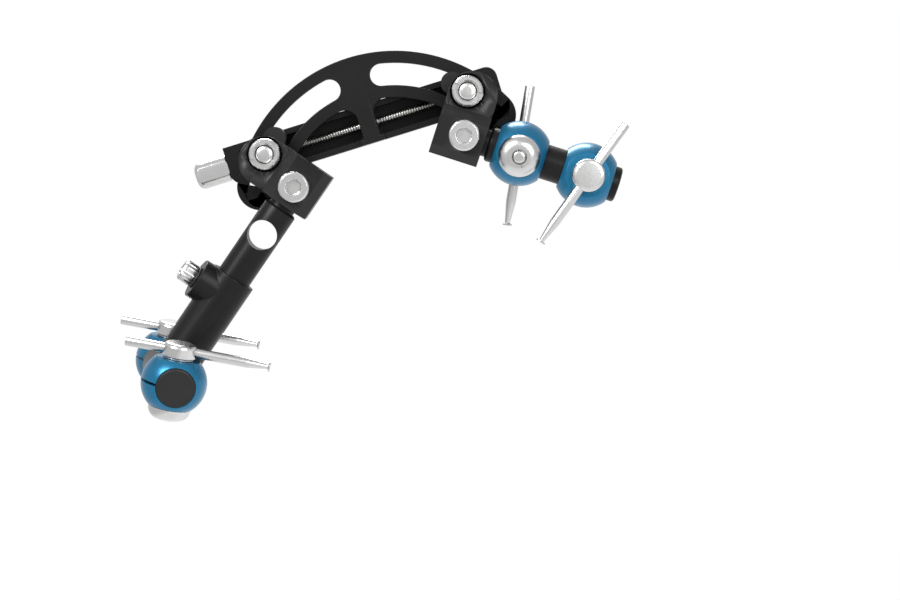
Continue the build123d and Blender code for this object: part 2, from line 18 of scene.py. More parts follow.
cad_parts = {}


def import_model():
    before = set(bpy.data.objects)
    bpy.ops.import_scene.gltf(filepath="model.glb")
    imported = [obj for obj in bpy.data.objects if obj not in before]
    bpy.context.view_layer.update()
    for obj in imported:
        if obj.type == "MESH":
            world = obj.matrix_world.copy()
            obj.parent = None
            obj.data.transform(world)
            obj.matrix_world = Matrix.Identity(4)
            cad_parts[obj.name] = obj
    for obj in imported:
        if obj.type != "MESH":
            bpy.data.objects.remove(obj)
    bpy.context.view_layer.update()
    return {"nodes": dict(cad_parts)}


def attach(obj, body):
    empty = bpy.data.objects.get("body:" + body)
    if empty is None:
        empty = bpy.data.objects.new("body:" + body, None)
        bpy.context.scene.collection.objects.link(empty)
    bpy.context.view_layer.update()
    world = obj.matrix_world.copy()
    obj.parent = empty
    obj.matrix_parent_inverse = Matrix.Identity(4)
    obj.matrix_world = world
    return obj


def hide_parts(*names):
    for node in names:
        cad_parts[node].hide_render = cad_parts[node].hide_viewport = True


LOG = logging.getLogger("fixator")
MILLIMETRE = 0.001
Profile = Sequence[tuple[float, float]]


class Side(Enum):
    """The side of the guide bar that a piece belongs to."""

    PROXIMAL = "right"
    DISTAL = "left"


class Cut(Enum):
    """How one solid acts on another."""

    ADD = "UNION"
    TAKE = "DIFFERENCE"


@dataclass(frozen=True)
class Sizes:
    """The sizes that several sub-assemblies share, in millimetres and degrees."""

    pivot_offset: float = 23.4
    pivot_height: float = 20.75
    right_angle: float = 35.0
    left_angle: float = 38.5
    sleeve_roll: float = 12.5
    rod_drop: float = 9.5
    rod_radius: float = 3.9
    transverse_radius: float = 4.3
    plate_front: float = 9.6
    plate_thickness: float = 2.0
    face_gap: float = 0.1
    running: float = 0.05
    bar_depth: float = 6.0

    @property
    def bar_front(self) -> float:
        """The guide bar's front face, just behind the plate."""
        return self.plate_front + self.plate_thickness + self.face_gap

    @property
    def screw_depth(self) -> float:
        """The lead screw's axis, at the middle of the bar."""
        return self.bar_front + self.bar_depth / 2


SIZES = Sizes()


@dataclass(frozen=True)
class Finish:
    """A procedural finish that reads Object coordinates.

    Args:
        title: the material's name.
        slot: the record's material slot; not used.
        colour: base colour, linear.
        shade: the darker end of the slow colour change.
        metallic: share of metal in the shader.
        roughness: the middle of the roughness range.
        spread: how far the roughness swings either way.
        grain: size of the fine grain, in millimetres.
        relief: height of the grain, in millimetres.
        specular: the shader's specular level.
    """

    title: str
    slot: str
    colour: tuple[float, float, float]
    shade: tuple[float, float, float]
    metallic: float
    roughness: float
    spread: float
    grain: float
    relief: float
    specular: float = 0.5

    def build(self, axis: Vector | None = None, pitch: float = 0.45) -> bpy.types.Material:
        """Make the material, with turning marks across an axis when one is given.

        Args:
            axis: direction of the turned piece's axis, or None for a blasted finish.
            pitch: distance between turning marks, in millimetres.

        Returns:
            The material.
        """
        name = "finish_" + self.title
        if axis is not None:
            name += "_" + "_".join(str(round(c * 100)) for c in axis)
        found = bpy.data.materials.get(name)
        if found:
            return found
        material = bpy.data.materials.new(name)
        material.use_nodes = True
        nodes, links = material.node_tree.nodes, material.node_tree.links
        shader = nodes["Principled BSDF"]
        shader.inputs["Metallic"].default_value = self.metallic
        shader.inputs["Specular IOR Level"].default_value = self.specular
        place = nodes.new("ShaderNodeTexCoord")

        cloud = nodes.new("ShaderNodeTexNoise")
        cloud.inputs["Scale"].default_value = 160.0
        cloud.inputs["Detail"].default_value = 3.0
        links.new(place.outputs["Object"], cloud.inputs["Vector"])
        tint = nodes.new("ShaderNodeMix")
        tint.data_type = "RGBA"
        tint.inputs["A"].default_value = (*self.shade, 1.0)
        tint.inputs["B"].default_value = (*self.colour, 1.0)
        links.new(cloud.outputs["Fac"], tint.inputs["Factor"])
        links.new(tint.outputs["Result"], shader.inputs["Base Color"])

        grain = nodes.new("ShaderNodeTexNoise")
        grain.inputs["Scale"].default_value = 1.0 / (self.grain * MILLIMETRE)
        grain.inputs["Detail"].default_value = 4.0
        links.new(place.outputs["Object"], grain.inputs["Vector"])
        rough = nodes.new("ShaderNodeMapRange")
        rough.inputs["To Min"].default_value = self.roughness - self.spread
        rough.inputs["To Max"].default_value = self.roughness + self.spread
        links.new(grain.outputs["Fac"], rough.inputs["Value"])
        links.new(rough.outputs["Result"], shader.inputs["Roughness"])

        bump = nodes.new("ShaderNodeBump")
        bump.inputs["Strength"].default_value = 0.35
        bump.inputs["Distance"].default_value = self.relief * MILLIMETRE
        height = grain.outputs["Fac"]
        if axis is not None:
            height = self._turning_marks(material, place, axis, pitch)
        links.new(height, bump.inputs["Height"])
        links.new(bump.outputs["Normal"], shader.inputs["Normal"])
        return material

    def _turning_marks(self, material: bpy.types.Material, place: bpy.types.Node,
                       axis: Vector, pitch: float) -> bpy.types.NodeSocket:
        """Noise that only changes along an axis, as a lathe tool leaves it."""
        nodes, links = material.node_tree.nodes, material.node_tree.links
        dot = nodes.new("ShaderNodeVectorMath")
        dot.operation = "DOT_PRODUCT"
        dot.inputs[1].default_value = axis
        links.new(place.outputs["Object"], dot.inputs[0])
        marks = nodes.new("ShaderNodeTexNoise")
        marks.noise_dimensions = "1D"
        marks.inputs["Scale"].default_value = 1.0 / (pitch * MILLIMETRE)
        marks.inputs["Detail"].default_value = 2.0
        links.new(dot.outputs["Value"], marks.inputs["W"])
        return marks.outputs["Fac"]

    def dress(self, obj: bpy.types.Object, axis: Vector | None = None) -> None:
        """Give the finish to an object."""
        obj.data.materials.clear()
        obj.data.materials.append(self.build(axis))
        for face in obj.data.polygons:
            face.material_index = 0


BLACK = Finish("black_anodised", "black_anodised", (0.006, 0.006, 0.006), (0.0035, 0.0035, 0.0035),
               0.0, 0.34, 0.06, 0.12, 0.004, specular=0.1)
BLACK_SATIN = Finish("black_anodised_satin", "black_anodised", (0.011, 0.011, 0.011),
                     (0.007, 0.007, 0.007), 0.0, 0.4, 0.06, 0.14, 0.005, specular=0.13)
BLUE = Finish("blue_anodised", "blue_anodised", (0.009, 0.1, 0.186), (0.006, 0.074, 0.146),
              0.55, 0.3, 0.04, 0.12, 0.003, specular=0.25)
STEEL = Finish("polished_steel", "steel", (0.47, 0.47, 0.465), (0.38, 0.38, 0.38),
               1.0, 0.27, 0.015, 0.6, 0.0006)
PIN_STEEL = Finish("pin_steel", "pin_steel", (0.45, 0.45, 0.45), (0.37, 0.37, 0.37),
                   1.0, 0.29, 0.015, 0.6, 0.0006)
THREAD_STEEL = Finish("thread_steel", "steel", (0.46, 0.46, 0.44), (0.3, 0.3, 0.29),
                      1.0, 0.32, 0.05, 0.2, 0.002)
DARK = Finish("dark_washer", "dark_washer", (0.014, 0.014, 0.014), (0.008, 0.008, 0.008),
              0.0, 0.5, 0.08, 0.1, 0.006, specular=0.3)


class Bench:
    """The modelling steps that every piece is made with."""

    @staticmethod
    def clear() -> None:
        """Leave edit mode and deselect everything."""
        if bpy.context.mode != "OBJECT":
            bpy.ops.object.mode_set(mode="OBJECT")
        bpy.ops.object.select_all(action="DESELECT")

    @staticmethod
    def edit(obj: bpy.types.Object, select: bool = True) -> None:
        """Open an object in edit mode with all or none of it selected."""
        Bench.clear()
        obj.select_set(True)
        bpy.context.view_layer.objects.active = obj
        bpy.ops.object.mode_set(mode="EDIT")
        bpy.ops.mesh.select_all(action="SELECT" if select else "DESELECT")

    @staticmethod
    def settle(obj: bpy.types.Object) -> bpy.types.Object:
        """Put an object's place, turn and size into its mesh."""
        Bench.clear()
        obj.select_set(True)
        bpy.context.view_layer.objects.active = obj
        bpy.ops.object.transform_apply(location=True, rotation=True, scale=True)
        return obj

    @staticmethod
    def outward(obj: bpy.types.Object, merge: float = 0.0002) -> None:
        """Merge doubles and turn every face outwards."""
        Bench.edit(obj)
        bpy.ops.mesh.remove_doubles(threshold=merge)
        bpy.ops.mesh.normals_make_consistent(inside=False)
        bpy.ops.object.mode_set(mode="OBJECT")

    @staticmethod
    def turned(profile: Profile, sides: int = 64, ring: bool = False) -> bpy.types.Object:
        """Turn a profile about Z, ring after ring, as on a lathe.

        Args:
            profile: radius and height of each ring in order.
            sides: sides of each ring.
            ring: True for a profile that closes on itself round a hole.

        Returns:
            The turned solid.
        """
        Bench.clear()
        radius, height = profile[0]
        bpy.ops.mesh.primitive_circle_add(vertices=sides, radius=radius, location=(0, 0, height),
                                          fill_type="NOTHING" if ring else "NGON")
        obj = Bench.settle(bpy.context.object)
        Bench.edit(obj)
        bpy.ops.mesh.select_mode(type="EDGE" if ring else "FACE")
        bpy.ops.mesh.select_all(action="SELECT")
        path = list(profile[1:]) + ([profile[0]] if ring else [])
        for wide, high in path:
            bpy.ops.mesh.extrude_region_move(
                TRANSFORM_OT_translate={"value": (0, 0, high - height)})
            grow = wide / radius
            bpy.ops.transform.resize(value=(grow, grow, 1), center_override=(0, 0, 0))
            radius, height = wide, high
        bpy.ops.object.mode_set(mode="OBJECT")
        Bench.outward(obj)
        return obj

    @staticmethod
    def rod(radius: float, low: float, high: float, sides: int = 64) -> bpy.types.Object:
        """A plain round cutter or core along Z."""
        return Bench.turned(((radius, low), (radius, high)), sides)

    @staticmethod
    def box(low: Sequence[float], high: Sequence[float]) -> bpy.types.Object:
        """A box between two corners."""
        Bench.clear()
        middle = [(a + b) / 2 for a, b in zip(low, high)]
        size = [b - a for a, b in zip(low, high)]
        bpy.ops.mesh.primitive_cube_add(size=1, location=middle, scale=size)
        return Bench.settle(bpy.context.object)

    @staticmethod
    def carve(obj: bpy.types.Object, tool: bpy.types.Object, cut: Cut) -> bpy.types.Object:
        """Add or take away a tool solid, then throw the tool away."""
        Bench.clear()
        bpy.context.view_layer.objects.active = obj
        obj.select_set(True)
        work = obj.modifiers.new("cut", "BOOLEAN")
        work.operation = cut.value
        work.solver = "EXACT"
        work.object = tool
        bpy.ops.object.modifier_apply(modifier=work.name)
        bpy.data.objects.remove(tool)
        return obj

    @staticmethod
    def slice(obj: bpy.types.Object, point: Sequence[float], outward: Sequence[float]) -> None:
        """Cut a solid flat, throwing away what lies outward of a plane."""
        Bench.edit(obj)
        bpy.ops.mesh.bisect(plane_co=point, plane_no=outward, use_fill=True, clear_outer=True)
        bpy.ops.object.mode_set(mode="OBJECT")

    @staticmethod
    def round_edges(obj: bpy.types.Object, chosen: Callable[[Vector, Vector], bool],
                    radius: float, segments: int = 8) -> None:
        """Round the edges that a test of their two ends picks."""
        Bench.edit(obj, select=False)
        bpy.ops.mesh.select_mode(type="EDGE")
        bpy.ops.object.mode_set(mode="OBJECT")
        points = obj.data.vertices
        for edge in obj.data.edges:
            first, second = (points[i].co for i in edge.vertices)
            edge.select = chosen(first, second)
        bpy.ops.object.mode_set(mode="EDIT")
        bpy.ops.mesh.bevel(offset=radius, segments=segments, affect="EDGES", profile=0.5)
        bpy.ops.object.mode_set(mode="OBJECT")

    @staticmethod
    def soften(obj: bpy.types.Object, width: float, segments: int = 3,
               angle: float = 32.0, slide: bool = True) -> None:
        """Break the sharp edges with a bevel, and shade the rest smooth.

        Args:
            obj: the piece.
            width: the bevel's width.
            segments: its steps.
            angle: the least angle between two faces that counts as an edge.
            slide: False for a flat face with many short edges, whose bevel keeps its width.
        """
        if not slide:
            Bench.outward(obj, merge=0.01)
        Bench.clear()
        obj.select_set(True)
        bpy.context.view_layer.objects.active = obj
        bevel = obj.modifiers.new("edge", "BEVEL")
        bevel.width = width
        bevel.segments = segments
        bevel.limit_method = "ANGLE"
        bevel.angle_limit = math.radians(angle)
        bevel.miter_outer = "MITER_ARC" if slide else "MITER_SHARP"
        bevel.loop_slide = slide
        bevel.use_clamp_overlap = slide
        bpy.ops.object.modifier_apply(modifier=bevel.name)
        bpy.ops.object.shade_smooth_by_angle(angle=math.radians(10))

    @staticmethod
    def copy(obj: bpy.types.Object) -> bpy.types.Object:
        """A second object with its own mesh."""
        twin = obj.copy()
        twin.data = obj.data.copy()
        bpy.context.scene.collection.objects.link(twin)
        return twin

    @staticmethod
    def join(parts: Sequence[bpy.types.Object]) -> bpy.types.Object:
        """Several solids as one object."""
        Bench.clear()
        for part in parts:
            part.select_set(True)
        bpy.context.view_layer.objects.active = parts[0]
        bpy.ops.object.join()
        return parts[0]

    @staticmethod
    def install(obj: bpy.types.Object, name: str, place: Matrix, node: str, body: str,
                finish: Finish, axis: Vector | None = None) -> bpy.types.Object:
        """Move a finished piece to its place, dress it and let it ride on its body.

        Args:
            obj: the piece, modelled in millimetres in its own frame.
            name: the piece's name.
            place: its frame in the object.
            node: the solid that it stands for.
            body: the body that it rides on.
            finish: its finish.
            axis: direction of its turning marks, if any.

        Returns:
            The installed piece.
        """
        obj.name = name
        obj.data.name = name
        obj.matrix_world = Matrix.Scale(MILLIMETRE, 4) @ place
        Bench.settle(obj)
        Bench.outward(obj, merge=1e-7)
        finish.dress(obj, axis)
        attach(obj, body)
        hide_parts(node)
        LOG.info("%s: %d faces, rides on %s", name, len(obj.data.polygons), body)
        return obj


def frame_of(origin: Vector, x_dir: Vector, z_dir: Vector) -> Matrix:
    """A right-handed frame from its origin, x axis and z axis."""
    y_dir = z_dir.cross(x_dir)
    turn = Matrix((x_dir, y_dir, z_dir)).transposed().to_4x4()
    turn.translation = origin
    return turn


def moved(place: Matrix, x: float = 0.0, y: float = 0.0, z: float = 0.0) -> Matrix:
    """A frame shifted along its own axes."""
    return place @ Matrix.Translation((x, y, z))


def aimed(place: Matrix, axis: str) -> Matrix:
    """The frame turned so that its z axis lies along its old x, y or minus z axis."""
    turns = {
        "x": Matrix(((0, 0, 1, 0), (1, 0, 0, 0), (0, 1, 0, 0), (0, 0, 0, 1))),
        "y": Matrix(((1, 0, 0, 0), (0, 0, 1, 0), (0, -1, 0, 0), (0, 0, 0, 1))),
        "-z": Matrix(((1, 0, 0, 0), (0, -1, 0, 0), (0, 0, -1, 0), (0, 0, 0, 1))),
    }
    return place @ turns[axis]


def axis_of(place: Matrix) -> Vector:
    """The direction of a frame's z axis in the object."""
    return (place.to_3x3() @ Vector((0, 0, 1))).normalized()


@dataclass(frozen=True)
class ArmFrames:
    """The frames of one arm at rest: at its pivot and on its rod's axis."""

    side: Side
    angle: float
    roll: float = 0.0

    def _mirrored(self, place: Matrix) -> Matrix:
        """The frame itself, or its mirror image on the distal side."""
        if self.side is Side.PROXIMAL:
            return place
        return Matrix.Diagonal((-1, 1, 1, 1)) @ place

    def _pivot(self) -> Matrix:
        """The proximal-side pivot frame: x along the arm, y up, z to the viewer."""
        tilt = math.radians(self.angle)
        origin = Vector((SIZES.pivot_offset, 0, SIZES.pivot_height))
        return frame_of(origin, Vector((math.cos(tilt), 0, -math.sin(tilt))), Vector((0, -1, 0)))

    @property
    def pivot(self) -> Matrix:
        """The arm's frame at its pivot."""
        return self._mirrored(self._pivot())

    @property
    def rod(self) -> Matrix:
        """The arm's frame on the rod's axis, without the roll."""
        return self._mirrored(moved(self._pivot(), y=-SIZES.rod_drop))

    @property
    def rolled(self) -> Matrix:
        """The arm's frame on the rod's axis, rolled about it."""
        turn = Matrix.Rotation(math.radians(self.roll), 4, "X")
        return self._mirrored(moved(self._pivot(), y=-SIZES.rod_drop) @ turn)


@dataclass
class ArcPlate:
    """The curved plate with two slots, which hangs on the guide bar by its web."""

    slot_radius: float = 31.0
    slot_width: float = 5.0
    band_width: float = 10.4
    slot_start: float = 11.3
    slot_end: float = 66.0
    plate_end: float = 62.5
    web_width: float = 3.7
    web_fillet: float = 3.0
    foot_width: float = 5.6
    foot_height: float = 1.2
    foot_fillet: float = 0.5
    bar_bottom: float = 16.3
    tongue_width: float = 1.5
    tongue_depth: float = 1.1
    tongue_reach: float = 16.8
    edge: float = 0.16
    sink: float = 0.015

    def _swept(self, width: float, low: float, high: float, start: float,
               end: float) -> bpy.types.Object:
        """A curved bar of rectangular section with round ends.

        Args:
            width: its width across the curve.
            low: its front face.
            high: its back face.
            start: angle of its first end from the X axis.
            end: angle of its last end.

        Returns:
            The solid.
        """
        Bench.clear()
        turn = math.radians(start)
        middle = (self.slot_radius * math.cos(turn), (low + high) / 2,
                  self.slot_radius * math.sin(turn))
        bpy.ops.mesh.primitive_plane_add(size=1, location=middle, rotation=(0, -turn, 0))
        obj = bpy.context.object
        obj.scale = (width, high - low, 1)
        Bench.settle(obj)
        Bench.edit(obj)
        bpy.ops.mesh.delete(type="ONLY_FACE")
        bpy.ops.mesh.select_all(action="SELECT")
        steps = max(12, round((end - start) / 0.9))
        bpy.ops.mesh.spin(steps=steps, angle=math.radians(end - start), center=(0, 0, 0),
                          axis=(0, 1, 0))
        bpy.ops.mesh.select_all(action="SELECT")
        bpy.ops.mesh.fill_holes(sides=0)
        bpy.ops.object.mode_set(mode="OBJECT")
        Bench.outward(obj)
        for angle in (start, end):
            turn = math.radians(angle)
            cap = Bench.rod(width / 2, -high, -low, 96)
            cap.matrix_world = Matrix.Translation(
                (self.slot_radius * math.cos(turn), 0, self.slot_radius * math.sin(turn))
            ) @ Matrix.Rotation(-turn, 4, "Y") @ Matrix.Rotation(math.radians(90), 4, "X")
            Bench.settle(cap)
            Bench.carve(obj, cap, Cut.ADD)
        return obj

    def _corner(self, low: Sequence[float], high: Sequence[float], centre: tuple[float, float],
                radius: float) -> bpy.types.Object:
        """A small infill whose free side is hollowed to a fillet's radius."""
        front = SIZES.plate_front + 3 * self.sink
        back = SIZES.plate_front + SIZES.plate_thickness - 3 * self.sink
        fill = Bench.box((low[0], front, low[1]), (high[0], back, high[1]))
        cutter = Bench.rod(radius, -back - 1, -front + 1, 96)
        cutter.matrix_world = Matrix.Translation((centre[0], 0, centre[1])) @ Matrix.Rotation(
            math.radians(90), 4, "X")
        Bench.settle(cutter)
        return Bench.carve(fill, cutter, Cut.TAKE)

    def build(self) -> None:
        """Model the plate and hang it in its place."""
        front, back = SIZES.plate_front, SIZES.plate_front + SIZES.plate_thickness
        plate = self._swept(self.band_width, front, back, 90 - self.plate_end,
                            90 + self.plate_end)
        for start in (90 - self.slot_end, 90 + self.slot_start):
            slot = self._swept(self.slot_width, front - 1, back + 1, start,
                               start + self.slot_end - self.slot_start)
            Bench.carve(plate, slot, Cut.TAKE)
        Bench.soften(plate, self.edge, 3, 40, slide=False)
        half = self.web_width / 2
        sink = self.sink
        web = Bench.box((-half, front + sink, self.bar_bottom + 0.4),
                        (half, back - sink, self.slot_radius))
        foot = Bench.box((-self.foot_width / 2, front + 2 * sink, self.bar_bottom),
                         (self.foot_width / 2, back - 2 * sink,
                          self.bar_bottom + self.foot_height))
        tongue = Bench.box((-self.tongue_width / 2, back - 0.5, self.bar_bottom + sink),
                           (self.tongue_width / 2, back + self.tongue_depth,
                            self.bar_bottom + self.tongue_reach))
        for block in (web, foot, tongue):
            Bench.soften(block, self.edge, 3, 40)
            Bench.carve(plate, block, Cut.ADD)
        inner = self.slot_radius - self.band_width / 2
        reach = half + self.web_fillet
        drop = math.sqrt((inner - self.web_fillet) ** 2 - reach ** 2)
        touch = reach * inner / (inner - self.web_fillet)
        heel = self.bar_bottom + self.foot_height
        for side in (-1, 1):
            edges = sorted((side * (half - 0.3), side * touch))
            corner = self._corner((edges[0], drop), (edges[1], inner + 0.6),
                                  (side * reach, drop), self.web_fillet)
            Bench.carve(plate, corner, Cut.ADD)
            edges = sorted((side * (half - 0.3), side * (half + self.foot_fillet)))
            corner = self._corner((edges[0], heel - 0.2), (edges[1], heel + self.foot_fillet),
                                  (side * (half + self.foot_fillet), heel + self.foot_fillet),
                                  self.foot_fillet)
            Bench.carve(plate, corner, Cut.ADD)
        Bench.clear()
        plate.select_set(True)
        bpy.context.view_layer.objects.active = plate
        bpy.ops.object.shade_smooth_by_angle(angle=math.radians(10))
        Bench.install(plate, "curved_plate", Matrix(), "arc_plate", "arc", BLACK)


@dataclass
class GuideBar:
    """The channel behind the plate, with its lead screw and knob."""

    left: float = -33.2
    right: float = 31.0
    height: float = 8.9
    corner: float = 2.5
    pocket_height: float = 6.3
    pocket_depth: float = 5.4
    pocket_corner: float = 1.2
    end_wall: float = 3.2
    post_width: float = 4.0
    tongue_width: float = 1.5
    tongue_depth: float = 1.1
    screw_radius: float = 1.0
    thread_pitch: float = 0.6
    knob_radius: float = 3.05
    knob_length: float = 7.8
    knob_flat: float = 0.45
    knob_pin_radius: float = 0.65
    knob_pin_inset: float = 1.5

    def _pocket(self, start: float, end: float) -> bpy.types.Object:
        """The cutter of one pocket, with rounded corners."""
        level = SIZES.pivot_height
        cutter = Bench.box(
            (start, SIZES.bar_front - 1, level - self.pocket_height / 2),
            (end, SIZES.bar_front + self.pocket_depth, level + self.pocket_height / 2))
        Bench.round_edges(cutter, lambda a, b: abs(a.x - b.x) + abs(a.z - b.z) < 1e-4,
                          self.pocket_corner)
        return cutter

    def _bar(self) -> None:
        """Model the channel."""
        level, front = SIZES.pivot_height, SIZES.bar_front
        low, high = level - self.height / 2, level + self.height / 2
        bar = Bench.box((self.left, front, low), (self.right, front + SIZES.bar_depth, high))

        def outer_corner(a: Vector, b: Vector) -> bool:
            """True for the lower left and the upper right edges along Y."""
            if abs(a.x - b.x) + abs(a.z - b.z) > 1e-4:
                return False
            return (a.x < 0) == (a.z < level)

        Bench.round_edges(bar, outer_corner, self.corner, 10)
        half = self.post_width / 2
        for start, end in ((self.left + self.end_wall, -half), (half, self.right - self.end_wall)):
            Bench.carve(bar, self._pocket(start, end), Cut.TAKE)
        groove = Bench.box(
            (-self.tongue_width / 2 - SIZES.face_gap, front - 1, low - 1),
            (self.tongue_width / 2 + SIZES.face_gap,
             front + self.tongue_depth + SIZES.face_gap, high + 1))
        Bench.carve(bar, groove, Cut.TAKE)
        bore = Bench.rod(self.screw_radius + SIZES.running, self.left - 1,
                         self.right - self.end_wall + 2.1, 48)
        bore.matrix_world = Matrix.Translation((0, SIZES.screw_depth, level)) @ Matrix.Rotation(
            math.radians(90), 4, "Y")
        Bench.settle(bore)
        Bench.carve(bar, bore, Cut.TAKE)
        Bench.soften(bar, 0.24, 3, 40)
        Bench.install(bar, "channel_bar", Matrix(), "guide_bar", "bar", BLACK)

    def _thread(self, start: float, end: float, right_handed: bool) -> bpy.types.Object:
        """A ridge that winds along the screw between two places.

        Args:
            start: where it begins.
            end: where it ends.
            right_handed: the way that it winds.

        Returns:
            The ridge.
        """
        Bench.clear()
        core = self.screw_radius - 0.27
        bpy.ops.mesh.primitive_circle_add(vertices=4, radius=self.thread_pitch * 0.46,
                                          location=(core, 0, start),
                                          rotation=(math.radians(90), 0, 0))
        obj = Bench.settle(bpy.context.object)
        turns = int((end - start) / self.thread_pitch)
        wind = obj.modifiers.new("wind", "SCREW")
        wind.axis = "Z"
        wind.angle = math.radians(360 if right_handed else -360)
        wind.screw_offset = self.thread_pitch
        wind.iterations = turns
        wind.steps = 20
        wind.render_steps = 20
        wind.use_merge_vertices = True
        bpy.context.view_layer.objects.active = obj
        obj.select_set(True)
        bpy.ops.object.modifier_apply(modifier=wind.name)
        Bench.edit(obj)
        bpy.ops.mesh.fill_holes(sides=0)
        bpy.ops.object.mode_set(mode="OBJECT")
        Bench.outward(obj)
        return obj

    def _screw(self) -> None:
        """Model the lead screw with a thread in each direction."""
        knob_face = self.left - SIZES.running
        start, end = knob_face - 6.0, self.right - self.end_wall + 2.0
        core = self.screw_radius - 0.18
        seat = self.screw_radius
        body = Bench.turned(((seat, start), (seat, self.left + self.end_wall + 1.2),
                             (core, self.left + self.end_wall + 1.4), (core, -2.6), (seat, -2.4),
                             (seat, 2.4), (core, 2.6), (core, self.right - self.end_wall - 0.4),
                             (seat, self.right - self.end_wall - 0.2), (seat, end)), 40)
        left = self._thread(self.left + self.end_wall + 1.5, -2.6, True)
        right = self._thread(2.6, self.right - self.end_wall - 0.6, False)
        screw = Bench.join((body, left, right))
        bpy.ops.object.shade_smooth_by_angle(angle=math.radians(30))
        place = aimed(Matrix.Translation((0, SIZES.screw_depth, SIZES.pivot_height)), "x")
        Bench.install(screw, "two_way_screw", place, "lead_screw", "screw", THREAD_STEEL)

    def _knob(self) -> None:
        """Model the knob with its flat, and the head of its cross pin."""
        knob_face = self.left - SIZES.running
        place = aimed(Matrix.Translation((knob_face, SIZES.screw_depth, SIZES.pivot_height)), "x")
        wide, end = self.knob_radius, self.knob_length
        knob = Bench.turned(((wide - 0.25, 0), (wide, -0.25), (wide, -end + 1.5),
                             (wide - 0.14, -end + 0.9), (wide - 0.5, -end + 0.4),
                             (wide - 1.0, -end + 0.12), (wide - 1.5, -end), (0.6, -end)), 96)
        flat = Bench.box((-6, wide - self.knob_flat, -end - 1), (6, wide + 2, 1))
        flat.matrix_world = Matrix.Rotation(math.radians(90), 4, "Z")
        Bench.settle(flat)
        Bench.carve(knob, flat, Cut.TAKE)
        hole = Bench.rod(self.knob_pin_radius + 0.06, 0, wide + 1, 32)
        hole.matrix_world = Matrix.Translation((0, 0, -self.knob_pin_inset)) @ Matrix.Rotation(
            math.radians(-90), 4, "X")
        Bench.settle(hole)
        Bench.carve(knob, hole, Cut.TAKE)
        Bench.soften(knob, 0.12, 3, 30)
        Bench.install(knob, "drive_handle", place, "drive_knob", "screw", STEEL, Vector((1, 0, 0)))
        pin = Bench.turned(((self.knob_pin_radius, self.screw_radius),
                            (self.knob_pin_radius, wide - 0.2),
                            (self.knob_pin_radius - 0.12, wide - 0.06),
                            (self.knob_pin_radius - 0.35, wide - 0.01)), 32)
        bpy.ops.object.shade_smooth_by_angle(angle=math.radians(30))
        upright = Matrix.Translation((knob_face - self.knob_pin_inset, SIZES.screw_depth,
                                      SIZES.pivot_height))
        Bench.install(pin, "cross_pin", upright, "knob_pin", "screw", STEEL)

    def build(self) -> None:
        """Model the bar, the screw and the knob."""
        self._bar()
        self._screw()
        self._knob()


